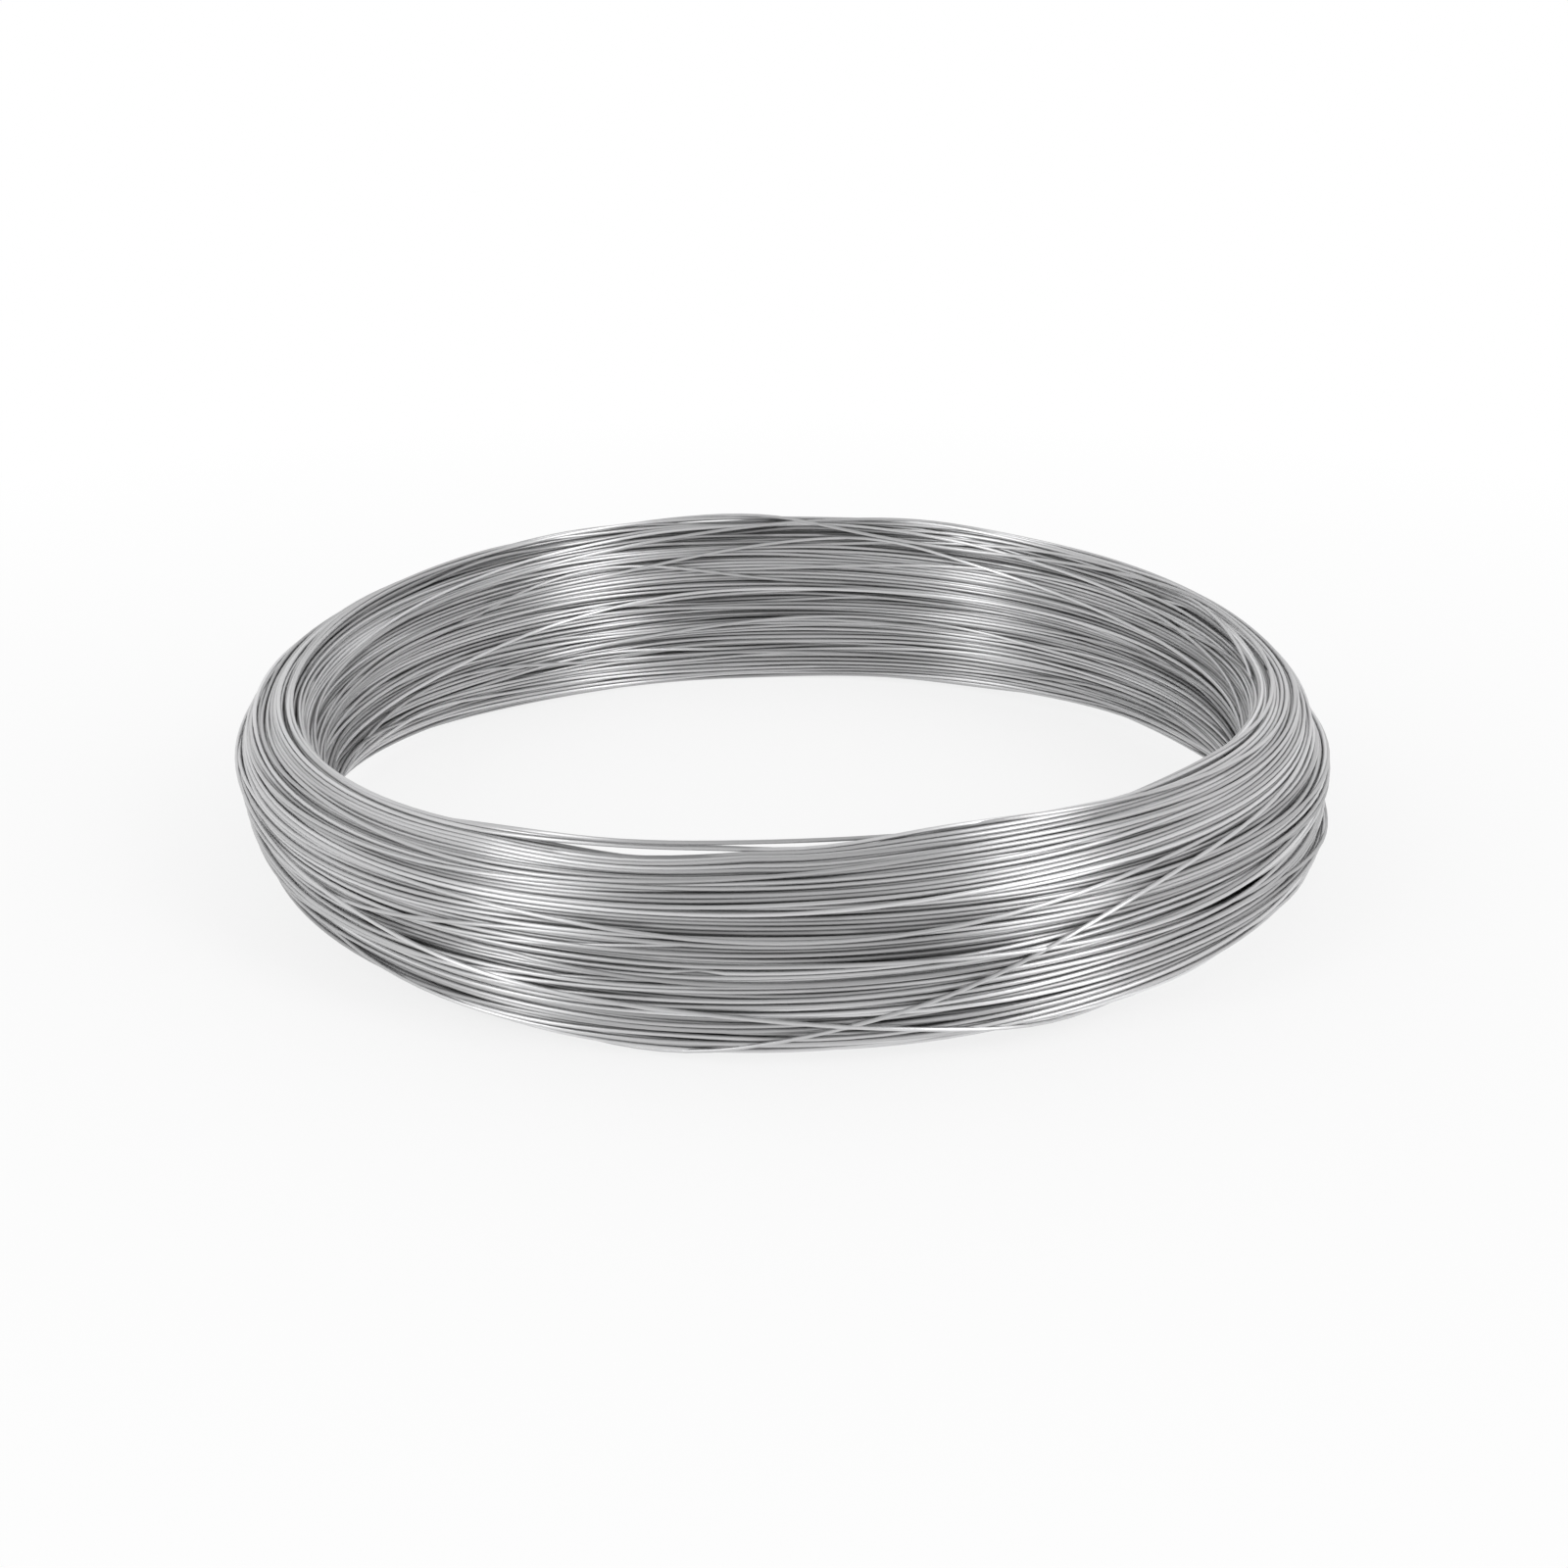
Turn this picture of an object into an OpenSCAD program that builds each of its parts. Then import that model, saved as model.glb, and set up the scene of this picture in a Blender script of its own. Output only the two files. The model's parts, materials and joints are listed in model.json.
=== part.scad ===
// Coil of bright drawn steel wire, lying on its end: one wire wound into a ring.
// The ring is one turned solid. Its turns show as ridges at the wire's own pitch, each with three
// flats, and the bore's wall and the foot are plain bands at the height of the turns that lie there.
// Origin at the middle of the foot, +Z up along the coil's axis. Millimetres.

/* [Wire] */
// Diameter of the drawn wire
wire_d = 1.6; // [1:0.1:2.5]
// Gap between neighbouring turns
turn_gap = 0.06; // [0.02:0.01:0.3]

/* [Coil] */
// Diameter of the bore, across the innermost turns
bore_d = 380; // [200:1:600]
// Height of the coil as it lies on its end
coil_h = 78; // [60:1:110]
// Height of the straight stretch of the bore's wall
bore_wall_h = 24; // [16:1:40]
// Width of the shoulders that round the bore's wall off at both ends
bore_shoulder_w = 12; // [6:1:20]
// Width of the level band at both ends of the coil
end_band_w = 4; // [3:1:20]
// Width by which the outside bulges past the level bands
outer_bulge_w = 19; // [10:1:60]

/* [Hidden] */

wire_r = wire_d / 2;
bore_r = bore_d / 2;
mid_z = coil_h / 2;
band_in_r = bore_r + bore_shoulder_w;
band_out_r = band_in_r + end_band_w;
shoulder_h = (coil_h - bore_wall_h) / 2;
wall_low_z = shoulder_h;
wall_high_z = coil_h - shoulder_h;
// Angle between the points of a rounded line
arc_step = 3;
// Half the angle that a turn's outer flat takes, the reach of that flat's corners, and the width
// of the flank between such a corner and the groove beside it
flat_angle = 30;
corner_r = wire_r / cos(flat_angle);
flank_w = wire_r - wire_r * tan(flat_angle);
ring_facets = 180;

// Points of an elliptical arc [radius, height] about a centre, from one angle to another
function arc_points(centre, half_w, half_h, from, to) =
    [for (a = [from : arc_step : to]) centre + [half_w * cos(a), half_h * sin(a)]];

// Lines through the middle of the wire: from the foot over the outside and the top to the bore's
// wall, and from the wall round the lower shoulder to the foot
outside_line = concat(
    arc_points([band_out_r, mid_z], outer_bulge_w - wire_r, mid_z - wire_r, -90, 90),
    arc_points([band_in_r, wall_high_z], bore_shoulder_w - wire_r, shoulder_h - wire_r, 90, 180));
lower_line =
    arc_points([band_in_r, wall_low_z], bore_shoulder_w - wire_r, shoulder_h - wire_r, 180, 270);

// Length along a line up to each of its points
function running_lengths(line) =
    [for (i = 0, length = 0; i < len(line);
          i = i + 1, length = length + (i < len(line) ? norm(line[i] - line[i - 1]) : 0)) length];

// Outline of the turns along a line: as many as fit, each with its outer flat's two corners,
// and a groove at the line's own level before the first, after the last and between neighbours
function turns_outline(line) =
    let (lengths = running_lengths(line),
         total = lengths[len(lengths) - 1],
         count = floor(total / (wire_d + turn_gap)),
         pitch = total / count,
         radii = [for (i = [0 : len(line) - 1]) [lengths[i], line[i].x]],
         heights = [for (i = [0 : len(line) - 1]) [lengths[i], line[i].y]],
         grooves = [for (k = [0 : count]) [lookup(k * pitch, radii), lookup(k * pitch, heights)]])
    [for (k = [0 : count])
        let (ahead = k < count ? grooves[k + 1] - grooves[k] : [0, 1],
             outward = atan2(-ahead.x, ahead.y),
             middle = [lookup((k + 0.5) * pitch, radii), lookup((k + 0.5) * pitch, heights)])
        each concat([grooves[k]], k == count ? [] :
            [for (turn = [-flat_angle, flat_angle])
                middle + corner_r * [cos(outward + turn), sin(outward + turn)]])];

// Section of the wound wire, with the plain bands of the bore's wall and the foot
module coil_section() {
    polygon(concat(
        [[band_out_r - flank_w, 0]],
        turns_outline(outside_line),
        [[bore_r, wall_high_z], [bore_r, wall_low_z]],
        turns_outline(lower_line),
        [[band_in_r + flank_w, 0]]));
}

module wire_coil() {
    color("silver")
        rotate_extrude($fn = ring_facets) coil_section();
}

wire_coil();
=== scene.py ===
"""Coil of bright drawn steel wire, wound turn by turn onto the ring that the frame gives."""

import json
import math
from typing import NamedTuple

import bpy
import numpy as np
from bpy.props import FloatProperty, FloatVectorProperty, IntProperty, PointerProperty
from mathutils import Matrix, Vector


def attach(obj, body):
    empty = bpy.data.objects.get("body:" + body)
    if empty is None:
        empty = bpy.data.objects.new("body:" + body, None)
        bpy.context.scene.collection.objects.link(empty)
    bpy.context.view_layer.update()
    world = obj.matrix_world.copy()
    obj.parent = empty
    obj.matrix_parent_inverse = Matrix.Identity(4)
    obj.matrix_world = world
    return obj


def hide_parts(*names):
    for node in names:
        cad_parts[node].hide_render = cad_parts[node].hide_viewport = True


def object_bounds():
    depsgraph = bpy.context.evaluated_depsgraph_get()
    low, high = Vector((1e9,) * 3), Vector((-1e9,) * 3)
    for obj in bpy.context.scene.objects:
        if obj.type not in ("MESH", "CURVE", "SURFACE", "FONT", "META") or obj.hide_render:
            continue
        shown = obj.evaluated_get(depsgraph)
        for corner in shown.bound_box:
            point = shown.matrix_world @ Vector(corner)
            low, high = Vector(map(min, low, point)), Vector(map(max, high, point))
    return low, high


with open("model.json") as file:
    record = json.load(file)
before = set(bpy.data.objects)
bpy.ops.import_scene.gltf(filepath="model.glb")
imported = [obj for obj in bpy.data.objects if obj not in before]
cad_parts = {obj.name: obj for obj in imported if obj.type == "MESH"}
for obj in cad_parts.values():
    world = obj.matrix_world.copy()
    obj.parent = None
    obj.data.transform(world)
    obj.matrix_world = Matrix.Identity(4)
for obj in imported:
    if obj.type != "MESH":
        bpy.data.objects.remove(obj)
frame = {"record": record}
cad_low, cad_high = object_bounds()

bl_info = {
    "name": "Steel Wire Coil",
    "version": (1, 0, 0),
    "blender": (4, 5, 0),
    "location": "View3D > Sidebar > Wire Coil",
    "description": "Winds a steel wire into a ring-shaped coil, turn by turn, and lights it on a pale floor",
    "category": "Object",
}

RING_NODE = "wire_coil"
BODY = "root"
BORE = next(mount for mount in frame["record"]["mounts"] if mount["name"] == "bore")

MM_PER_M = 1000
FULL_ROUND = 2 * math.pi
DEGREES_ROUND = 360
UNIT_RANGE = (0.0, 1.0)
WHITE = (1.0, 1.0, 1.0, 1.0)

# Points along the section's outline, finer steps between two of them, and points round the ring
OUTLINE_POINTS = 720
FINE_STEPS = 8
RING_POINTS = 360

# Angle round the section at which the wire starts: 0 is outside, 90 degrees the top and -90 the foot
START_ANGLE = -math.pi / 2

# Slow waves round the ring: how many crests, their height in metres, and the direction of one crest.
# Direction 0 is +X and 90 is +Y.
TOP_WAVES = ((1, 0.0044, 48.0), (2, 0.0036, -71.0), (3, 0.0014, 34.0))
FOOT_WAVES = ((2, 0.0036, 2.0), (3, 0.0012, 58.0))

# The last turns of the wire lie loose across the others. Each point is the number of turns since the
# close winding ended and the angle round the section: 0 outside, 90 top, 180 bore, 270 or -90 foot.
LOOSE_TURNS = (
    (0.00, -90), (0.10, -66), (0.50, -66), (0.62, -92), (0.69, -80), (0.722, -63), (0.750, -41),
    (0.775, -26), (0.803, -8), (0.831, 12), (0.858, 25), (0.90, 34), (1.00, 46), (1.10, 64),
    (1.20, 96), (1.242, 112), (1.286, 123), (1.347, 136), (1.45, 144), (1.70, 153), (1.95, 160),
    (2.05, 160), (2.108, 155), (2.167, 141), (2.217, 125), (2.267, 138), (2.308, 149), (2.358, 154),
    (2.60, 162), (3.00, 167), (3.20, 169), (3.308, 172), (3.369, 184), (3.414, 193), (3.50, 200),
    (3.62, 194), (3.74, 170), (3.82, 142), (3.88, 116), (3.944, 92), (4.02, 88), (4.10, 112),
    (4.17, 129), (4.225, 120), (4.258, 98), (4.31, 74), (4.42, 46), (4.56, 18), (4.68, -14),
    (4.744, -25), (4.797, -46), (4.830, -70), (4.88, -88), (4.97, -74), (5.20, -68),
)

# Dips in the crest that its highest turns bridge: the directions in which a dip starts, is deepest and
# ends, how much a place further out counts beside the height when the highest turns are picked, how many
# turns bridge the dip, and how many wire diameters deep it is.
BRIDGED_DIPS = (
    ((238.0, 256.0, 275.0), -0.42, 3, 1.6),
    ((262.0, 273.0, 286.0), -0.42, 1, 0.9),
    ((84.0, 97.0, 112.0), 0.3, 2, 0.7),
    ((20.0, 28.0, 47.0), 0.3, 3, 0.7),
)

# Where on the section a dip lies, in degrees: its middle, its reach to both sides, and how much of that
# reach it fades over
CREST_ANGLE = 92.0
CREST_REACH = 48.0
CREST_FADE = 30.0

# Knots that lead each stretch of a smooth random line
LEADING_KNOTS = 4

# Spread of the steps from turn to turn, before they are scaled to fill their layers
STEP_SPREAD = (0.95, 1.12)

# Groups of turns drift sideways together: the fewest and most turns in a group, the drift in wire
# diameters, what the last layer adds to it and over how many turns that sets in, the knots of the drift
# round the ring, and the spread and limit of its random values.
GROUP_TURNS = (2, 9)
GROUP_DRIFT = 1.0
LAST_LAYER_DRIFT = 0.3
LAST_LAYER_START = 4
DRIFT_KNOTS = 7
DRIFT_SPREAD = 0.7
DRIFT_LIMIT = 1.6

# Each turn wanders by itself: how far in wire diameters, and between how many knots in a turn
WANDER = 0.3
WANDER_KNOTS = 5

# Some turns stray from their neighbours and come back: half the length of a stray in turns, the share of
# the full width that it takes, the full width in wire diameters, and how often one occurs, for all close
# turns and once more for those of the last layer.
STRAY_HALF = (0.08, 0.22)
STRAY_SHARE = (0.3, 1.0)
STRAY_WIDTH = 4.0
TURNS_PER_STRAY = 6
LAST_LAYER_STRAY_WIDTH = 7.0
LAST_LAYER_STRAYS_PER_TURN = 0.8

# A turn settles by sliding sideways: how far in wire diameters, in how many tries, and how much lower it
# has to rest for each length that it slides
SLIDE_REACH = 0.8
SLIDE_TRIES = 15
SLIDE_COST = 0.25

# Slices on both sides of a turn that are laid with it, how many slices a rise spreads over on both sides,
# and the numbers of slices in the moving means that make the wire smooth
LOOK_SLICES = 10
RISE_SLICES = 1
SLIDE_MEANS = (9, 5)
REST_MEANS = (5, 3)
WIRE_MEAN = 5

# Uneven ground of the hidden turns: its knots round the section and round the ring, and its rise in
# wire diameters
GROUND_KNOTS = (22, 7)
GROUND_RISE = 0.4

# Turns above this percentile of the tops are pressed down to a share of what they stand out
HIGH_PERCENTILE = 88
HIGH_SHARE = 0.7

# Percentile of the tops that touches the section's outline, and percentile of the lowest turns round the
# ring that touches the floor
OUTLINE_PERCENTILE = 80
FOOT_PERCENTILE = 5

# Tone of the wire from 0 to 1, part of it shared by a group of turns: the middle, spread and knots round
# the ring of the group's tone, its share beside the wire's own tone, the turns between two knots of the
# wire's own tone, and the group's tone for the loose turns
MIDDLE_TONE = 0.5
GROUP_TONE_SPREAD = 0.4
GROUP_TONE_KNOTS = 5
GROUP_TONE_SHARE = 0.35
OWN_TONE_TURNS = 0.5
LOOSE_TONE = 0.8

# Sides of the round wire, the four-cornered faces that close its end, and the most faces in one piece
WIRE_SIDES = 8
END_FACES = ((0, 1, 2, 3), (0, 3, 4, 7), (4, 5, 6, 7))
MOST_FACES = 95000
FACE_CORNERS = 4

# Points round the section of the hidden turns, and their depth under the wound ones in wire diameters
HIDDEN_POINTS = 96
HIDDEN_DEPTH = 0.6

# Flat map that gives the wire's lengthwise direction, and the turn that draws highlights out across it
FLAT_MAP = "OFBake"
QUARTER_TURN = 0.25

# Finish of the wire: the range that most noise lies in, how fine the noise is along and across the wire,
# and the ranges by which streaks, patches and tone multiply its colour
NOISE_RANGE = (0.3, 0.7)
STREAK_FINENESS = (25.0, 2500.0, 2500.0)
PATCH_FINENESS = (9.0, 300.0, 300.0)
STREAK_SHINE = (0.88, 1.1)
PATCH_SHINE = (0.9, 1.08)
TONE_SHINE = (0.6, 1.38)

# Depths in wire diameters over which painted shade sets in between the turns, and its share there
SHADE_DEPTHS = (0.7, 2.6)
SHADE_SHARES = (0.0, 0.48)

# Fineness of the mottle on the hidden turns, and how dark it gets beside the painted shade colour that they
# take
MOTTLE_FINENESS = (120.0, 120.0, 900.0)
MOTTLE_SHADE = 0.5

# Colour of the floor, the distances in metres over which it fades to white, and the share of white that
# it starts with
FLOOR_COLOUR = (0.9, 0.9, 0.9, 1.0)
FLOOR_FADE = (0.24, 0.8)
FLOOR_WHITE = 0.79

# Surroundings: the upward part of a direction over which they dim towards straight above, and over which
# their two dim sides set in. Each side has the direction of its middle, and how near to that direction
# the dimming starts.
OVERHEAD_RISE = (0.2, 1.0)
DIM_SIDE_RISE = (0.11, 0.27)
CAMERA_SIDE = ((0, -1, 0), 0.2)
BACK_LEFT_SIDE = ((-0.77, 0.64, 0), 0.86)

# Width of the camera's sensor in millimetres
SENSOR_WIDTH = 36.0


# Sizes and colours

class CoilSizes(bpy.types.PropertyGroup):
    """Sizes of the wire and of the ring that it is wound into"""

    wire_d: FloatProperty(
        name="Wire diameter", description="Thickness of the drawn wire",
        default=0.0016, min=0.001, max=0.003, precision=4, unit="LENGTH")
    bore_r: FloatProperty(
        name="Bore radius", description="Radius across the innermost turns",
        default=BORE["dims"]["r_mm"] / MM_PER_M, precision=4, unit="LENGTH")
    outer_r: FloatProperty(
        name="Outer radius", description="Mean radius across the outermost turns",
        default=cad_high.x, precision=4, unit="LENGTH")
    crest_r: FloatProperty(
        name="Crest radius", description="Radius at which the ring is highest",
        default=0.203, precision=4, unit="LENGTH")
    height: FloatProperty(
        name="Mean height", description="Height of the ring before its slow waves",
        default=0.0748, precision=4, unit="LENGTH")
    lean: FloatProperty(
        name="Lean", description="How far the top of the ring lies towards -X from its middle",
        default=0.0037, precision=4, unit="LENGTH")
    upper_fullness: FloatProperty(
        name="Upper fullness", description="Exponent of the section's upper outer quarter, 2 is an ellipse",
        default=1.7, min=1.0, max=4.0)
    lower_fullness: FloatProperty(
        name="Lower fullness", description="Exponent of the section's lower outer quarter, 2 is an ellipse",
        default=2.06, min=1.0, max=4.0)
    layers: IntProperty(
        name="Layers", description="Layers of wire that are wound one by one over the hidden turns",
        default=3, min=1, max=4)
    pitch: FloatProperty(
        name="Pitch", description="Mean step from turn to turn in the lower layers, in wire diameters",
        default=1.04, min=1.0, max=2.0)
    last_pitch: FloatProperty(
        name="Last pitch", description="Mean step from turn to turn in the last layer, in wire diameters",
        default=1.06, min=0.8, max=2.0)
    slices: IntProperty(
        name="Slices", description="Straight steps in one turn of the wire",
        default=144, min=48, max=240)
    seed: IntProperty(
        name="Seed", description="Number that the wandering of the wire starts from",
        default=7)


class CoilFinish(bpy.types.PropertyGroup):
    """Colours and roughness of the drawn wire, and the colour of the shade that is painted between its turns
    """

    steel: FloatVectorProperty(
        name="Steel", description="Colour of the bright wire",
        default=(0.65, 0.65, 0.655), size=3, subtype="COLOR", min=0.0, max=1.0)
    # Painted shade: the wire is mixed towards this colour deep between turns, and the hidden turns take it
    shade: FloatVectorProperty(
        name="Shade", description="Colour of the turns deep between others",
        default=(0.08, 0.08, 0.083), size=3, subtype="COLOR", min=0.0, max=1.0)
    smoothest: FloatProperty(
        name="Smoothest", description="Roughness of the wire's smoothest streaks",
        default=0.31, min=0.0, max=1.0)
    roughest: FloatProperty(
        name="Roughest", description="Roughness of the wire's roughest streaks",
        default=0.45, min=0.0, max=1.0)


class CoilStage(bpy.types.PropertyGroup):
    """Camera, lights and floor"""

    camera_distance: FloatProperty(
        name="Camera distance", description="From the camera to the middle of the ring",
        default=1.0, unit="LENGTH")
    camera_elevation: FloatProperty(
        name="Camera elevation", description="Angle of the camera above the ring's level",
        default=math.radians(20.34), subtype="ANGLE")
    picture_px: FloatProperty(
        name="Picture size", description="Width and height of the picture in pixels",
        default=1600.0)
    focal_px: FloatProperty(
        name="Focal length", description="Focal length of the camera in the picture's pixels",
        default=2416.0)
    ring_px: FloatProperty(
        name="Row of the ring", description="Row of pixels at which the middle of the ring is seen",
        default=752.0)
    lamp_distance: FloatProperty(
        name="Lamp distance", description="From both lamps to the middle of the ring, along the floor",
        default=6.0, unit="LENGTH")
    lamp_angle: FloatProperty(
        name="Lamp angle", description="Angle of both lamps from the camera, round the ring",
        default=math.radians(56.3), subtype="ANGLE")
    lamp_height: FloatProperty(
        name="Lamp height", description="Height of each upright lamp",
        default=5.8, unit="LENGTH")
    left_width: FloatProperty(
        name="Left lamp width", description="Width of the upright lamp on the left",
        default=1.5, unit="LENGTH")
    right_width: FloatProperty(
        name="Right lamp width", description="Width of the upright lamp on the right",
        default=2.16, unit="LENGTH")
    left_power: FloatProperty(
        name="Left lamp power", description="Power of the lamp on the left in watts",
        default=80.0)
    right_power: FloatProperty(
        name="Right lamp power", description="Power of the lamp on the right in watts",
        default=132.0)
    overhead: FloatProperty(
        name="Overhead", description="Brightness of the surroundings straight above, 1 is white",
        default=0.64, min=0.0, max=1.0)
    behind_camera: FloatProperty(
        name="Behind the camera", description="Brightness of the surroundings behind the camera, 1 is white",
        default=0.72, min=0.0, max=1.0)
    back_left: FloatProperty(
        name="Back left",
        description="Brightness of the surroundings behind the ring on the left, 1 is white",
        default=0.55, min=0.0, max=1.0)
    floor_size: FloatProperty(
        name="Floor size", description="Length of the floor's sides",
        default=40.0, unit="LENGTH")


# Section of the ring

def waves_round(direction, waves):
    """Sum of slow waves at a direction round the ring, in radians."""
    return sum(
        height * np.cos(crests * (direction - math.radians(crest)))
        for crests, height, crest in waves)


def ease(share):
    """Smooth step from 0 to 1."""
    share = np.clip(share, 0, 1)
    return share * share * (3 - 2 * share)


class Section:
    """The ring's section. Places are lengths along its outline, taken half a wire inside it, where the
    outermost layer of wire runs. Depths go inwards from the outline."""

    def __init__(self, sizes):
        fine = np.linspace(0, FULL_ROUND, FINE_STEPS * OUTLINE_POINTS + 1)
        radius, height = self.outline(sizes, fine, sizes.wire_d / 2)
        run = np.concatenate(([0], np.cumsum(np.hypot(np.diff(radius), np.diff(height)))))
        self.around = run[-1]
        self.places = np.linspace(0, self.around, OUTLINE_POINTS, endpoint=False)
        self.angle = np.interp(self.places, run, fine)
        self.upward = np.sin(self.angle)
        self.radius, self.height = self.outline(sizes, self.angle, 0.0)
        inner_radius, inner_height = self.outline(sizes, self.angle, 1.0)
        self.inward_r = inner_radius - self.radius
        self.inward_z = inner_height - self.height
        self.slant = sizes.lean / (sizes.height / 2)
        foot_waves = waves_round(np.linspace(0, FULL_ROUND, RING_POINTS), FOOT_WAVES)
        self.mid_z = sizes.height / 2 - foot_waves.min()

    @staticmethod
    def outline(sizes, angle, depth):
        """Radius and height of the outline at angles round the section, a depth inside it."""
        across = np.cos(angle)
        upward = np.sin(angle)
        outer = across >= 0
        outer_power = 2 / np.where(upward >= 0, sizes.upper_fullness, sizes.lower_fullness)
        power = np.where(outer, outer_power, 1.0)
        half_w = np.where(outer, sizes.outer_r - sizes.crest_r, sizes.crest_r - sizes.bore_r)
        radius = sizes.crest_r + (half_w - depth) * np.sign(across) * np.abs(across) ** power
        height = (sizes.height / 2 - depth) * np.sign(upward) * np.abs(upward) ** power
        return radius, height

    def place_at(self, angle):
        """Place along the outline at an angle round the section, also past a full round."""
        rounds = np.floor(angle / FULL_ROUND)
        angles = np.append(self.angle, FULL_ROUND)
        places = np.append(self.places, self.around)
        return np.interp(angle - rounds * FULL_ROUND, angles, places) + rounds * self.around

    def at(self, values, place):
        """Values of the outline at places along it."""
        return np.interp(place, self.places, values, period=self.around)

    def standing(self, place, height):
        """Radius and level of points that stand a height over the outline."""
        radius = self.at(self.radius, place) - height * self.at(self.inward_r, place)
        level = self.at(self.height, place) - height * self.at(self.inward_z, place)
        return radius, level

    def points(self, place, depth, direction):
        """Points at a depth inside the outline, at directions round the ring, above the floor."""
        radius, level = self.standing(place, -depth)
        x = radius * np.cos(direction) - self.slant * level
        y = radius * np.sin(direction)
        upward = self.at(self.upward, place)
        level = level + (1 + upward) / 2 * waves_round(direction, TOP_WAVES)
        level = level + (1 - upward) / 2 * waves_round(direction, FOOT_WAVES)
        return np.stack((x, y, level + self.mid_z), -1)


# Path of the wire

def between(before, start, end, after, share):
    """Smooth value between start and end, led by the values on both sides of them."""
    bend = 2 * before - 5 * start + 4 * end - after
    turn = 3 * start - before - 3 * end + after
    return start + 0.5 * share * (end - before + share * (bend + share * turn))


def wander(rng, count, spacing):
    """Smooth random values, mostly from -1 to 1, along the wire, one knot every so many slices."""
    knots = rng.uniform(-1, 1, int(count / spacing) + LEADING_KNOTS)
    along = np.arange(count) / spacing
    knot = along.astype(int)
    return between(*(knots[knot + step] for step in range(LEADING_KNOTS)), along - knot)


class TurnGroups:
    """Groups of turns that lie side by side because they share the same drift."""

    def __init__(self, rng, turns, slices):
        sizes = rng.integers(*GROUP_TURNS, turns, endpoint=True)
        starts = np.concatenate(([0], np.cumsum(sizes)))
        starts = starts[starts < turns]
        self.number = len(starts) + 1
        self.turn = np.arange(turns * slices) / slices
        self.group = np.searchsorted(starts, self.turn, side="right")
        self.share = ease(self.turn - starts[self.group - 1])

    def drift(self, rng, knots_round):
        """Smooth random values, mostly from -1 to 1, that the turns of a group share."""
        knots = rng.normal(0, DRIFT_SPREAD, (self.number, knots_round))
        knots = np.clip(knots, -DRIFT_LIMIT, DRIFT_LIMIT)
        along = self.turn % 1 * knots_round
        knot = along.astype(int)
        before, after = (
            between(*(knots[row, (knot + step) % knots_round] for step in (-1, 0, 1, 2)), along - knot)
            for row in (self.group - 1, self.group))
        return before * (1 - self.share) + after * self.share


def strays(rng, first, count, slices, number):
    """Sideways moves at every slice, mostly from -1 to 1: stretches, all after a first slice, in which the
    wire leaves its neighbours and comes back."""
    moves = np.zeros(count)
    for _ in range(number):
        half = int(slices * rng.uniform(*STRAY_HALF))
        middle = rng.integers(first + half, count - half)
        share = np.arange(-half, half + 1) / half
        reach = rng.uniform(*STRAY_SHARE) * rng.choice((-1, 1))
        moves[middle - half:middle + half + 1] += reach * np.cos(share * np.pi / 2) ** 2
    return moves


def close_path(rng, sizes, section):
    """Places at every slice of the close turns before they settle, and the tone that groups share."""
    wire_d = sizes.wire_d
    slices = sizes.slices
    turns_round = section.around / wire_d
    lower = round((sizes.layers - 1) * turns_round / sizes.pitch)
    turns = lower + round(turns_round / sizes.last_pitch)
    count = turns * slices
    steps = rng.uniform(*STEP_SPREAD, turns)
    steps[:lower] *= (sizes.layers - 1) * section.around / steps[:lower].sum()
    steps[lower:] *= section.around / steps[lower:].sum()
    ends = np.concatenate(([0], np.cumsum(steps)))
    path = np.interp(np.arange(count) / slices, np.arange(turns + 1), ends)
    path += section.place_at(START_ANGLE)
    groups = TurnGroups(rng, turns, slices)
    in_last = ease((groups.turn - lower) / LAST_LAYER_START)
    path += (GROUP_DRIFT + LAST_LAYER_DRIFT * in_last) * wire_d * groups.drift(rng, DRIFT_KNOTS)
    tone = np.clip(MIDDLE_TONE + GROUP_TONE_SPREAD * groups.drift(rng, GROUP_TONE_KNOTS), 0, 1)
    path += WANDER * wire_d * wander(rng, count, slices / WANDER_KNOTS)
    last_strays = round(LAST_LAYER_STRAYS_PER_TURN * (turns - lower))
    path += STRAY_WIDTH * wire_d * strays(rng, 0, count, slices, turns // TURNS_PER_STRAY)
    path += LAST_LAYER_STRAY_WIDTH * wire_d * strays(rng, lower * slices, count, slices, last_strays)
    return path, tone


def loose_path(sizes, section):
    """Places at every slice of the loose turns, on a smooth line through their points."""
    turn, angle = np.array(LOOSE_TURNS, float).T
    loose = np.arange(int(turn[-1] * sizes.slices)) / sizes.slices
    knot = np.clip(np.searchsorted(turn, loose, side="right") - 1, 0, len(turn) - 2)
    gap = turn[knot + 1] - turn[knot]
    share = (loose - turn[knot]) / gap
    slope = np.gradient(angle, turn)
    bow = share * (1 - share) * ((1 - share) * slope[knot] - share * slope[knot + 1]) * gap
    angle = angle[knot] + ease(share) * (angle[knot + 1] - angle[knot]) + bow
    return section.place_at(np.radians(angle)) + section.around * sizes.layers


# Winding

def mean_along(values, *widths):
    """Moving means over odd numbers of slices, one after the other."""
    for width in widths:
        padded = np.pad(values, width // 2, mode="edge")
        values = np.convolve(padded, np.full(width, 1 / width), mode="valid")
    return values


def highest_along(values, reach):
    """Highest value within a reach of slices on both sides."""
    padded = np.pad(values, reach, mode="edge")
    return np.max([padded[step:step + len(values)] for step in range(2 * reach + 1)], axis=0)


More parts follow.
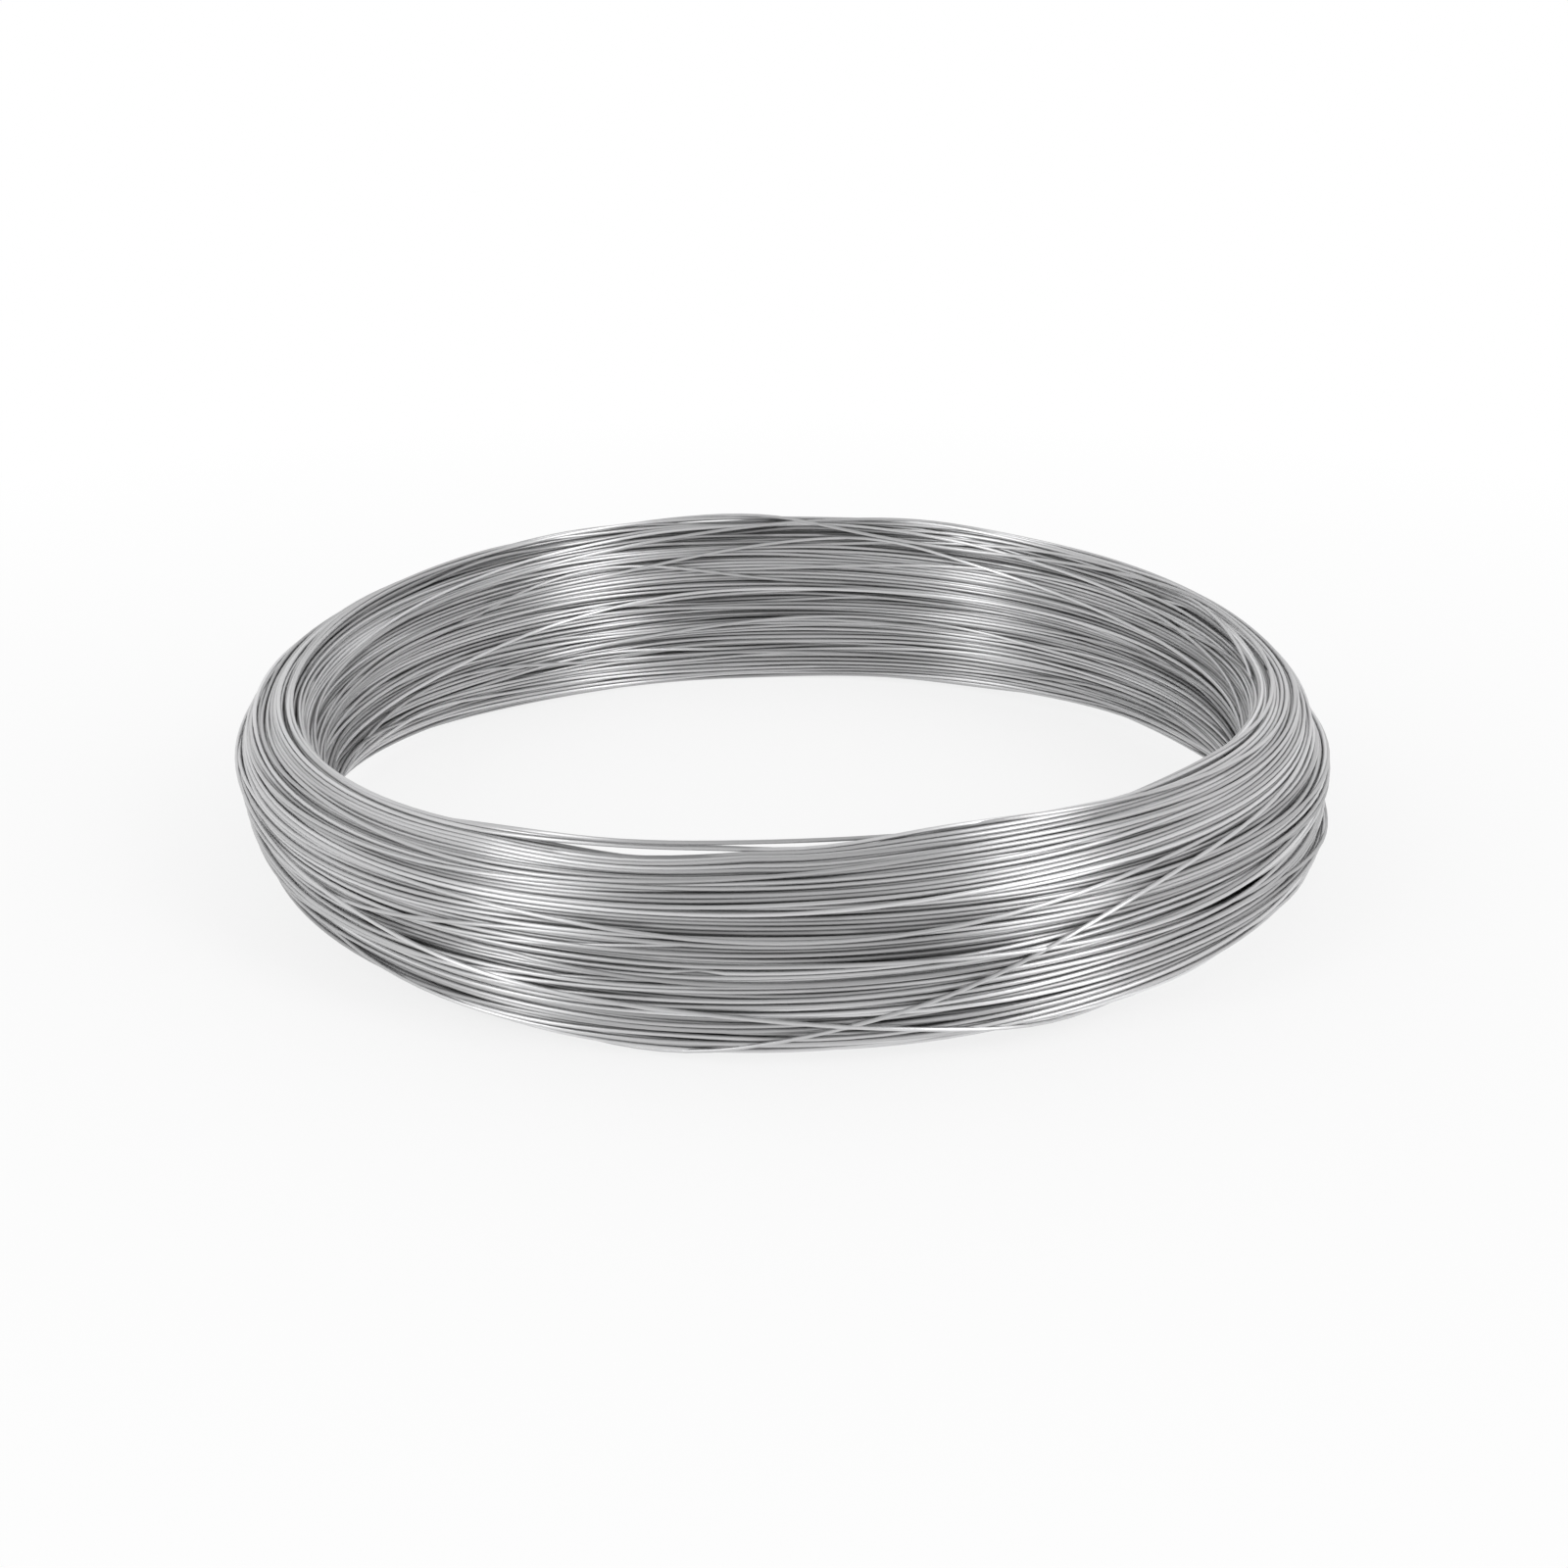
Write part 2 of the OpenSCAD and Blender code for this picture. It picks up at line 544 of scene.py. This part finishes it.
def uneven_ground(knots, place, turn):
    """Height of the hidden turns from -1 to 1, at shares of the way round the section and the ring."""
    rows, columns = knots.shape
    row = place % 1 * rows
    column = turn % 1 * columns
    low_row = row.astype(int)
    low_column = column.astype(int)
    up = ease(row - low_row)
    on = ease(column - low_column)
    near = [
        knots[(low_row + above) % rows, (low_column + ahead) % columns]
        for above, ahead in ((0, 0), (0, 1), (1, 0), (1, 1))]
    return (1 - up) * ((1 - on) * near[0] + on * near[1]) + up * ((1 - on) * near[2] + on * near[3])


class Strand(NamedTuple):
    """A stretch of wire, slice by slice: the points in its middle, the directions round the ring, the
    lengths along the wire, the tones, and the depths under the turns beside it."""

    middle: np.ndarray
    direction: np.ndarray
    along: np.ndarray
    tone: np.ndarray
    depth: np.ndarray

    def cut(self, first, end):
        """Part of the stretch, from a first slice to the one before the end."""
        return Strand(*(values[first:end] for values in self))


class Winding:
    """The wire, laid turn by turn: each turn slides into a hollow near it and rests on what lies there.
    Heights are those of the wire's middle, counted from where it would lie on even ground."""

    def __init__(self, rng, sizes, section):
        self.sizes = sizes
        self.section = section
        close, group_tone = close_path(rng, sizes, section)
        loose = loose_path(sizes, section)
        self.close_turns = len(close) // sizes.slices
        self.turns = (len(close) + len(loose)) // sizes.slices
        count = self.turns * sizes.slices
        self.path = np.concatenate((close, loose))[:count]
        self.group_tone = np.concatenate((group_tone, np.full(len(loose), LOOSE_TONE)))[:count]
        self.ground_knots = rng.uniform(-1, 1, GROUND_KNOTS)
        self.column = np.arange(count) % sizes.slices
        self.direction = FULL_ROUND * self.column / sizes.slices
        self.slides = np.zeros(count)
        self.places = np.zeros(count)
        self.heights = np.zeros(count)
        for turn in range(self.turns):
            self.lay(turn)
        self.places = mean_along(self.places, WIRE_MEAN)
        self.heights = mean_along(self.heights, WIRE_MEAN)
        self.press()
        self.dip()

    def lay(self, turn):
        """Lays one turn on those before it. Loose turns stay on their path."""
        slices = self.sizes.slices
        first = turn * slices
        window = np.arange(max(first - LOOK_SLICES, 0), min(first + slices + LOOK_SLICES, len(self.path)))
        past = window < first
        column = self.column[window]
        laid_places = self.places.reshape(-1, slices)[:turn, column] % self.section.around
        laid_heights = self.heights.reshape(-1, slices)[:turn, column]
        slide = np.zeros(len(window))
        if turn < self.close_turns:
            tries = np.linspace(-1.0, 1.0, SLIDE_TRIES) * SLIDE_REACH * self.sizes.wire_d
            rests = np.array([
                self.rest(window, self.path[window] + sideways, laid_places, laid_heights)
                for sideways in tries])
            rests += SLIDE_COST * np.abs(tries)[:, None]
            slide = tries[rests.argmin(0)]
        slide[past] = self.slides[window[past]]
        slide = mean_along(slide, *SLIDE_MEANS)
        slide[past] = self.slides[window[past]]
        place = self.path[window] + slide
        rest = self.rest(window, place, laid_places, laid_heights)
        rest[past] = self.heights[window[past]]
        rest = mean_along(highest_along(rest, RISE_SLICES), *REST_MEANS)
        now = ~past & (window < first + slices)
        self.slides[window[now]] = slide[now]
        self.places[window[now]] = place[now]
        self.heights[window[now]] = rest[now]

    def rest(self, window, place, laid_places, laid_heights):
        """Heights at which a window of slices rests on the turns laid so far, or on the hidden turns."""
        wire_d = self.sizes.wire_d
        around = self.section.around
        rise = uneven_ground(self.ground_knots, place / around, window / self.sizes.slices)
        ground = GROUND_RISE * wire_d * rise
        apart = np.abs(place % around - laid_places)
        apart = np.minimum(apart, around - apart)
        lift = laid_heights + np.sqrt(np.maximum(wire_d ** 2 - apart ** 2, 0))
        lift = np.where(apart < wire_d, lift, ground)
        return np.max(np.concatenate((lift, ground[None])), axis=0)

    def tops(self):
        """Highest wire in each strip of the section one wire wide, at each slice of a turn, and the strip
        in which each slice of the wire lies."""
        around = self.section.around
        strips = int(around / self.sizes.wire_d)
        strip = (self.places % around / around * strips).astype(int)
        top = np.zeros((strips, self.sizes.slices))
        np.maximum.at(top, (strip, self.column), self.heights)
        return top, strip

    def press(self):
        """Presses the turns that stand high over the others back towards them."""
        top, _ = self.tops()
        level = np.percentile(top, HIGH_PERCENTILE)
        over = self.heights - level
        self.heights = np.where(over > 0, level + HIGH_SHARE * over, self.heights)

    def slice_at(self, direction):
        """Slice of a turn that is nearest to a direction in degrees."""
        return round(direction / DEGREES_ROUND * self.sizes.slices)

    def dip(self):
        """Lowers the close turns at the crest under the few that bridge each dip."""
        slices = self.sizes.slices
        lowered = np.zeros(len(self.places))
        angle = np.degrees(self.section.at(self.section.angle, self.places))
        near_crest = ease((CREST_REACH - np.abs(angle - CREST_ANGLE)) / CREST_FADE)
        for (start, deepest, end), outward, bridging, depth in BRIDGED_DIPS:
            ahead = np.arange(self.slice_at(start), self.slice_at(end) + 1)
            direction = ahead * DEGREES_ROUND / slices
            share = np.where(
                direction < deepest,
                (direction - start) / (deepest - start),
                (end - direction) / (end - deepest))
            at_deepest = np.arange(self.close_turns - 1) * slices + self.slice_at(deepest)
            radius, level = self.section.standing(self.places[at_deepest], self.heights[at_deepest])
            for turn in np.argsort(level + outward * radius)[:-bridging]:
                span = turn * slices + ahead
                lowered[span] = np.maximum(lowered[span], depth * ease(share) * near_crest[span])
        self.heights -= self.sizes.wire_d * lowered

    def inset(self):
        """Depth inside the section's outline of a wire that lies on even ground."""
        top, _ = self.tops()
        return np.percentile(top, OUTLINE_PERCENTILE) + self.sizes.wire_d / 2

    def depths(self):
        """How deep the wire lies under the highest turns beside it, in wire diameters; the material paints
        shade by it.
        """
        top, strip = self.tops()
        wide_top = np.maximum(top, np.maximum(np.roll(top, 1, 0), np.roll(top, -1, 0)))
        return (wide_top[strip, self.column] - self.heights) / self.sizes.wire_d

    def middle(self):
        """Points in the middle of the wire, with the ring standing on its lowest turns."""
        wire_r = self.sizes.wire_d / 2
        points = self.section.points(self.places, self.inset() - self.heights, self.direction)
        lowest = points[:, 2].reshape(-1, self.sizes.slices).min(0)
        points[:, 2] += wire_r - np.percentile(lowest, FOOT_PERCENTILE)
        points[:, 2] = np.maximum(points[:, 2], wire_r)
        return points

    def strand(self, rng):
        """The whole wire as it lies."""
        middle = self.middle()
        steps = np.linalg.norm(np.diff(middle, axis=0), axis=1)
        along = np.concatenate(([0], np.cumsum(steps)))
        own_tone = (1 + wander(rng, len(middle), self.sizes.slices * OWN_TONE_TURNS)) / 2
        tone = GROUP_TONE_SHARE * self.group_tone + (1 - GROUP_TONE_SHARE) * own_tone
        return Strand(middle, self.direction, along, tone, self.depths())


# Materials

def add_node(tree, kind, **settings):
    """New shader node; a setting that names an input sets that input."""
    node = tree.nodes.new(kind)
    for name, value in settings.items():
        if name in node.inputs:
            node.inputs[name].default_value = value
        else:
            setattr(node, name, value)
    return node


def new_material(name):
    """New material with an empty node tree and an output."""
    material = bpy.data.materials.new(name)
    material.use_nodes = True
    material.node_tree.nodes.clear()
    output = add_node(material.node_tree, "ShaderNodeOutputMaterial")
    return material, material.node_tree, output


def noise(tree, vector, fineness, detail):
    """Noise that is finer along some axes than along others."""
    scaled = add_node(tree, "ShaderNodeVectorMath", operation="MULTIPLY")
    scaled.inputs[1].default_value = fineness
    texture = add_node(tree, "ShaderNodeTexNoise", Scale=1.0, Detail=detail)
    tree.links.new(vector, scaled.inputs[0])
    tree.links.new(scaled.outputs[0], texture.inputs["Vector"])
    return texture.outputs["Fac"]


def map_range(tree, value, from_range, to_range):
    """Maps a value from one range to another."""
    node = add_node(tree, "ShaderNodeMapRange")
    tree.links.new(value, node.inputs["Value"])
    for name, number in zip(("From Min", "From Max", "To Min", "To Max"), (*from_range, *to_range)):
        node.inputs[name].default_value = number
    return node.outputs["Result"]


def multiply(tree, first, *others):
    """Product of values."""
    product = first
    for other in others:
        node = add_node(tree, "ShaderNodeMath", operation="MULTIPLY")
        tree.links.new(product, node.inputs[0])
        tree.links.new(other, node.inputs[1])
        product = node.outputs[0]
    return product


def towards(tree, direction, goal):
    """How far a direction points towards a goal, from -1 to 1."""
    node = add_node(tree, "ShaderNodeVectorMath", operation="DOT_PRODUCT")
    tree.links.new(direction, node.inputs[0])
    node.inputs[1].default_value = goal
    return node.outputs["Value"]


def drawn_steel(finish):
    """Bright drawn wire: lengthwise die streaks, slow changes of tone, and painted shade deep between turns.
    """
    material, tree, output = new_material("drawn_steel")
    steel = add_node(tree, "ShaderNodeBsdfPrincipled", Metallic=1.0, Anisotropic=0.9)
    steel.inputs["Anisotropic Rotation"].default_value = QUARTER_TURN
    tangent = add_node(tree, "ShaderNodeTangent", direction_type="UV_MAP", uv_map=FLAT_MAP)
    straight, tone, depth = (
        add_node(tree, "ShaderNodeAttribute", attribute_name=name).outputs[kind]
        for name, kind in (("straight", "Vector"), ("tone", "Fac"), ("depth", "Fac")))
    streak = noise(tree, straight, STREAK_FINENESS, detail=3.0)
    patch = noise(tree, straight, PATCH_FINENESS, detail=2.0)
    shine = multiply(
        tree,
        map_range(tree, streak, NOISE_RANGE, STREAK_SHINE),
        map_range(tree, patch, NOISE_RANGE, PATCH_SHINE),
        map_range(tree, tone, UNIT_RANGE, TONE_SHINE))
    colour = add_node(tree, "ShaderNodeVectorMath", operation="SCALE")
    colour.inputs[0].default_value = finish.steel
    # Painted shade: the wire's colour is mixed towards the shade colour the deeper it lies between the turns
    shaded = add_node(tree, "ShaderNodeMix", data_type="RGBA")
    shaded.inputs["B"].default_value = (*finish.shade, 1.0)
    bump = add_node(tree, "ShaderNodeBump", Strength=0.12, Distance=0.00005)
    roughness = map_range(tree, streak, NOISE_RANGE, (finish.smoothest, finish.roughest))
    tree.links.new(shine, colour.inputs["Scale"])
    tree.links.new(map_range(tree, depth, SHADE_DEPTHS, SHADE_SHARES), shaded.inputs["Factor"])
    tree.links.new(colour.outputs[0], shaded.inputs["A"])
    tree.links.new(streak, bump.inputs["Height"])
    tree.links.new(shaded.outputs["Result"], steel.inputs["Base Color"])
    tree.links.new(roughness, steel.inputs["Roughness"])
    tree.links.new(tangent.outputs["Tangent"], steel.inputs["Tangent"])
    tree.links.new(bump.outputs["Normal"], steel.inputs["Normal"])
    tree.links.new(steel.outputs["BSDF"], output.inputs["Surface"])
    return material


def shaded_steel(finish):
    """Hidden turns inside the ring, painted dark with the shade colour: painted shade for the light that
    doesn't come down to them.
    """
    material, tree, output = new_material("shaded_steel")
    steel = add_node(tree, "ShaderNodeBsdfPrincipled", Metallic=1.0, Roughness=0.6)
    place = add_node(tree, "ShaderNodeTexCoord").outputs["Object"]
    # Painted shade, mottled between the shade colour and a darker one
    mottled = add_node(tree, "ShaderNodeMix", data_type="RGBA")
    mottled.inputs["A"].default_value = (*(part * MOTTLE_SHADE for part in finish.shade), 1.0)
    mottled.inputs["B"].default_value = (*finish.shade, 1.0)
    tree.links.new(noise(tree, place, MOTTLE_FINENESS, detail=3.0), mottled.inputs["Factor"])
    tree.links.new(mottled.outputs["Result"], steel.inputs["Base Color"])
    tree.links.new(steel.outputs["BSDF"], output.inputs["Surface"])
    return material


def pale_floor():
    """White floor that keeps the coil's shadow and is plain white far from the coil."""
    material, tree, output = new_material("pale_floor")
    matt = add_node(tree, "ShaderNodeBsdfDiffuse", Color=FLOOR_COLOUR)
    white = add_node(tree, "ShaderNodeEmission", Color=WHITE, Strength=1.0)
    place = add_node(tree, "ShaderNodeTexCoord").outputs["Object"]
    length = add_node(tree, "ShaderNodeVectorMath", operation="LENGTH")
    tree.links.new(place, length.inputs[0])
    fade = map_range(tree, length.outputs["Value"], FLOOR_FADE, (FLOOR_WHITE, 1.0))
    path = add_node(tree, "ShaderNodeLightPath")
    seen = path.outputs["Is Camera Ray"]
    for kind in ("Is Glossy Ray", "Is Transmission Ray"):
        either = add_node(tree, "ShaderNodeMath", operation="MAXIMUM")
        tree.links.new(seen, either.inputs[0])
        tree.links.new(path.outputs[kind], either.inputs[1])
        seen = either.outputs[0]
    mix = add_node(tree, "ShaderNodeMixShader")
    tree.links.new(multiply(tree, fade, seen), mix.inputs[0])
    tree.links.new(matt.outputs[0], mix.inputs[1])
    tree.links.new(white.outputs[0], mix.inputs[2])
    tree.links.new(mix.outputs[0], output.inputs["Surface"])
    return material


# Meshes

def mesh_object(name, vertices, faces, material):
    """New smooth mesh object from arrays of points and four-cornered faces."""
    mesh = bpy.data.meshes.new(name)
    mesh.from_pydata(vertices, [], faces)
    mesh.polygons.foreach_set("use_smooth", np.ones(len(faces), bool))
    mesh.materials.append(material)
    mesh.update()
    piece = bpy.data.objects.new(name, mesh)
    bpy.context.scene.collection.objects.link(piece)
    return piece


def add_piece(piece):
    """The piece stands for the ring and moves with it: it hangs from the ring's body, and the ring itself is
    hidden.
    """
    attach(piece, BODY)
    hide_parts(RING_NODE)


def grid_faces(rows, columns):
    """Four-cornered faces of a tube of so many rings of so many points."""
    ring = np.arange(rows - 1)[:, None] * columns
    next_ring = ring + columns
    point = np.arange(columns)[None]
    after = (point + 1) % columns
    corners = (ring + point, next_ring + point, next_ring + after, ring + after)
    return np.stack(corners, -1).reshape(-1, FACE_CORNERS)


def set_attribute(mesh, name, kind, field, values):
    """Stores values for each point of a mesh, for its material."""
    attribute = mesh.attributes.new(name, kind, "POINT")
    attribute.data.foreach_set(field, np.ascontiguousarray(values, np.float32).ravel())


def set_flat_map(mesh, rings, slices):
    """Flat map with a row for each turn of the wire and a strip for each of its sides. The faces at both
    ends get no room in it."""
    rows = math.ceil(rings / slices)
    ring = np.arange(rings - 1)
    left = ring % slices / slices
    strip = (ring // slices)[:, None] + np.arange(WIRE_SIDES)[None] / WIRE_SIDES
    corners = np.zeros((rings - 1, WIRE_SIDES, FACE_CORNERS, 2))
    for corner, (ahead, up) in enumerate(((0, 0), (1, 0), (1, 1), (0, 1))):
        corners[:, :, corner, 0] = left[:, None] + ahead / slices
        corners[:, :, corner, 1] = (strip + up / WIRE_SIDES) / rows
    ends = np.zeros((2, len(END_FACES), FACE_CORNERS, 2))
    flat = np.concatenate((corners.ravel(), ends.ravel()))
    mesh.uv_layers.new(name=FLAT_MAP).data.foreach_set("uv", flat.astype(np.float32))


class COIL_OT_wind_turns(bpy.types.Operator):
    """Winds the outer turns of the wire onto the ring"""

    bl_idname = "coil.wind_turns"
    bl_label = "Wind Turns"

    def execute(self, context):
        sizes = context.scene.coil_sizes
        material = drawn_steel(context.scene.coil_finish)
        rng = np.random.default_rng(sizes.seed)
        winding = Winding(rng, sizes, Section(sizes))
        context.scene["turns_inset"] = winding.inset()
        strand = winding.strand(rng)
        number = math.ceil(len(strand.middle) * WIRE_SIDES / MOST_FACES)
        length = math.ceil(winding.turns / number) * sizes.slices
        for index in range(number):
            stretch = strand.cut(index * length, (index + 1) * length + 1)
            self.add_turns(f"wire_turns_{index + 1}", sizes, material, stretch)
        return {"FINISHED"}

    @staticmethod
    def add_turns(name, sizes, material, strand):
        """One stretch of the wire as a closed tube."""
        rings = len(strand.middle)
        round_wire = FULL_ROUND * np.arange(WIRE_SIDES) / WIRE_SIDES
        across = sizes.wire_d / 2 * np.cos(round_wire)
        upward = sizes.wire_d / 2 * np.sin(round_wire)
        x = strand.middle[:, :1] + across * np.cos(strand.direction[:, None])
        y = strand.middle[:, 1:2] + across * np.sin(strand.direction[:, None])
        z = strand.middle[:, 2:] + upward
        vertices = np.stack((x, y, z), -1).reshape(-1, 3)
        first_end = np.array(END_FACES)
        last_end = (first_end + len(vertices) - WIRE_SIDES)[:, ::-1]
        faces = np.concatenate((grid_faces(rings, WIRE_SIDES), first_end, last_end))
        piece = mesh_object(name, vertices, faces, material)
        along = np.repeat(strand.along, WIRE_SIDES)
        straight = np.stack((along, np.tile(across, rings), np.tile(upward, rings)), -1)
        set_attribute(piece.data, "straight", "FLOAT_VECTOR", "vector", straight)
        set_attribute(piece.data, "tone", "FLOAT", "value", np.repeat(strand.tone, WIRE_SIDES))
        # The depth sets the painted shade in the wire's material
        set_attribute(piece.data, "depth", "FLOAT", "value", np.repeat(strand.depth, WIRE_SIDES))
        set_flat_map(piece.data, rings, sizes.slices)
        add_piece(piece)


class COIL_OT_fill_ring(bpy.types.Operator):
    """Fills the ring with its hidden turns, as one body under the outer turns that is painted dark as shade
    """

    bl_idname = "coil.fill_ring"
    bl_label = "Fill Ring"

    def execute(self, context):
        if "turns_inset" not in context.scene:
            raise RuntimeError("The outer turns have to be wound before the ring is filled")
        sizes = context.scene.coil_sizes
        section = Section(sizes)
        depth = context.scene["turns_inset"] + HIDDEN_DEPTH * sizes.wire_d
        direction = np.repeat(FULL_ROUND * np.arange(sizes.slices) / sizes.slices, HIDDEN_POINTS)
        place = np.tile(section.around * np.arange(HIDDEN_POINTS) / HIDDEN_POINTS, sizes.slices)
        vertices = section.points(place, depth, direction)
        faces = grid_faces(sizes.slices + 1, HIDDEN_POINTS) % len(vertices)
        # The hidden turns' material is painted shade
        material = shaded_steel(context.scene.coil_finish)
        add_piece(mesh_object("hidden_turns", vertices, faces, material))
        return {"FINISHED"}


class COIL_OT_set_stage(bpy.types.Operator):
    """Sets the camera, two tall soft lamps, a white world and a pale floor"""

    bl_idname = "coil.set_stage"
    bl_label = "Set Stage"

    def execute(self, context):
        scene = context.scene
        stage = scene.coil_stage
        middle = Vector((0, 0, Section(scene.coil_sizes).mid_z))
        self.add_camera(scene, stage, middle)
        for name, angle, width, power in (
                ("lamp_left", -stage.lamp_angle, stage.left_width, stage.left_power),
                ("lamp_right", stage.lamp_angle, stage.right_width, stage.right_power)):
            self.add_lamp(scene, stage, middle, name, angle, width, power)
        self.add_floor(stage)
        self.add_world(scene, stage)
        scene.view_settings.view_transform = "Standard"
        return {"FINISHED"}

    @staticmethod
    def add_camera(scene, stage, middle):
        """Camera that sees the middle of the ring at its place in the picture."""
        camera = bpy.data.objects.new("camera", bpy.data.cameras.new("camera"))
        scene.collection.objects.link(camera)
        camera.data.sensor_width = SENSOR_WIDTH
        camera.data.lens = SENSOR_WIDTH * stage.focal_px / stage.picture_px
        elevation = stage.camera_elevation
        back = Vector((0, -math.cos(elevation), math.sin(elevation)))
        camera.location = middle + stage.camera_distance * back
        below = math.atan2(stage.picture_px / 2 - stage.ring_px, stage.focal_px)
        camera.rotation_euler = (math.pi / 2 - elevation - below, 0.0, 0.0)
        scene.camera = camera

    @staticmethod
    def add_lamp(scene, stage, middle, name, angle, width, power):
        """Tall soft lamp beside the camera, standing on the floor's level and facing the ring."""
        lamp = bpy.data.lights.new(name, "AREA")
        lamp.shape = "RECTANGLE"
        lamp.size = width
        lamp.size_y = stage.lamp_height
        lamp.energy = power
        holder = bpy.data.objects.new(name, lamp)
        scene.collection.objects.link(holder)
        away = stage.lamp_distance * Vector((math.sin(angle), -math.cos(angle), 0))
        holder.location = away + Vector((0, 0, stage.lamp_height / 2))
        holder.rotation_euler = (holder.location - middle).to_track_quat("Z", "Y").to_euler()

    @staticmethod
    def add_floor(stage):
        """Pale floor, level with the foot of the ring."""
        half = stage.floor_size / 2
        corners = np.array(((-half, -half, 0), (half, -half, 0), (half, half, 0), (-half, half, 0)))
        floor = mesh_object("floor", corners, np.array(((0, 1, 2, 3),)), pale_floor())

    @staticmethod
    def add_world(scene, stage):
        """Surroundings that are white at the floor's level and dimmer higher up, most on two sides."""
        scene.world = bpy.data.worlds.new("white_room")
        scene.world.use_nodes = True
        tree = scene.world.node_tree
        background = tree.nodes["Background"]
        background.inputs["Color"].default_value = WHITE
        direction = add_node(tree, "ShaderNodeTexCoord").outputs["Generated"]
        upward = towards(tree, direction, (0, 0, 1))
        strength = map_range(tree, upward, OVERHEAD_RISE, (1.0, stage.overhead))
        for (goal, start), level in ((CAMERA_SIDE, stage.behind_camera), (BACK_LEFT_SIDE, stage.back_left)):
            near = map_range(tree, towards(tree, direction, goal), (start, 1.0), UNIT_RANGE)
            dim = multiply(tree, near, map_range(tree, upward, DIM_SIDE_RISE, UNIT_RANGE))
            strength = multiply(tree, strength, map_range(tree, dim, UNIT_RANGE, (1.0, level)))
        tree.links.new(strength, background.inputs["Strength"])


class COIL_PT_sidebar(bpy.types.Panel):
    """Steps that make the coil, with its sizes, finish and stage"""

    bl_idname = "COIL_PT_sidebar"
    bl_label = "Wire Coil"
    bl_space_type = "VIEW_3D"
    bl_region_type = "UI"
    bl_category = "Wire Coil"

    def draw(self, context):
        for step in STEPS:
            self.layout.operator(step.bl_idname)
        for group in ("coil_sizes", "coil_finish", "coil_stage"):
            settings = getattr(context.scene, group)
            for name in settings.__annotations__:
                self.layout.prop(settings, name)


GROUPS = (CoilSizes, CoilFinish, CoilStage)
STEPS = (COIL_OT_wind_turns, COIL_OT_fill_ring, COIL_OT_set_stage)


def register():
    """Registers the groups, the steps and the sidebar."""
    for kind in (*GROUPS, *STEPS, COIL_PT_sidebar):
        bpy.utils.register_class(kind)
    bpy.types.Scene.coil_sizes = PointerProperty(type=CoilSizes)
    bpy.types.Scene.coil_finish = PointerProperty(type=CoilFinish)
    bpy.types.Scene.coil_stage = PointerProperty(type=CoilStage)


def unregister():
    """Takes away what register added."""
    del bpy.types.Scene.coil_stage
    del bpy.types.Scene.coil_finish
    del bpy.types.Scene.coil_sizes
    for kind in reversed((*GROUPS, *STEPS, COIL_PT_sidebar)):
        bpy.utils.unregister_class(kind)


def main():
    """Makes the coil and the stage."""
    register()
    bpy.ops.coil.wind_turns()
    bpy.ops.coil.fill_ring()
    bpy.ops.coil.set_stage()


if __name__ == "__main__":
    main()
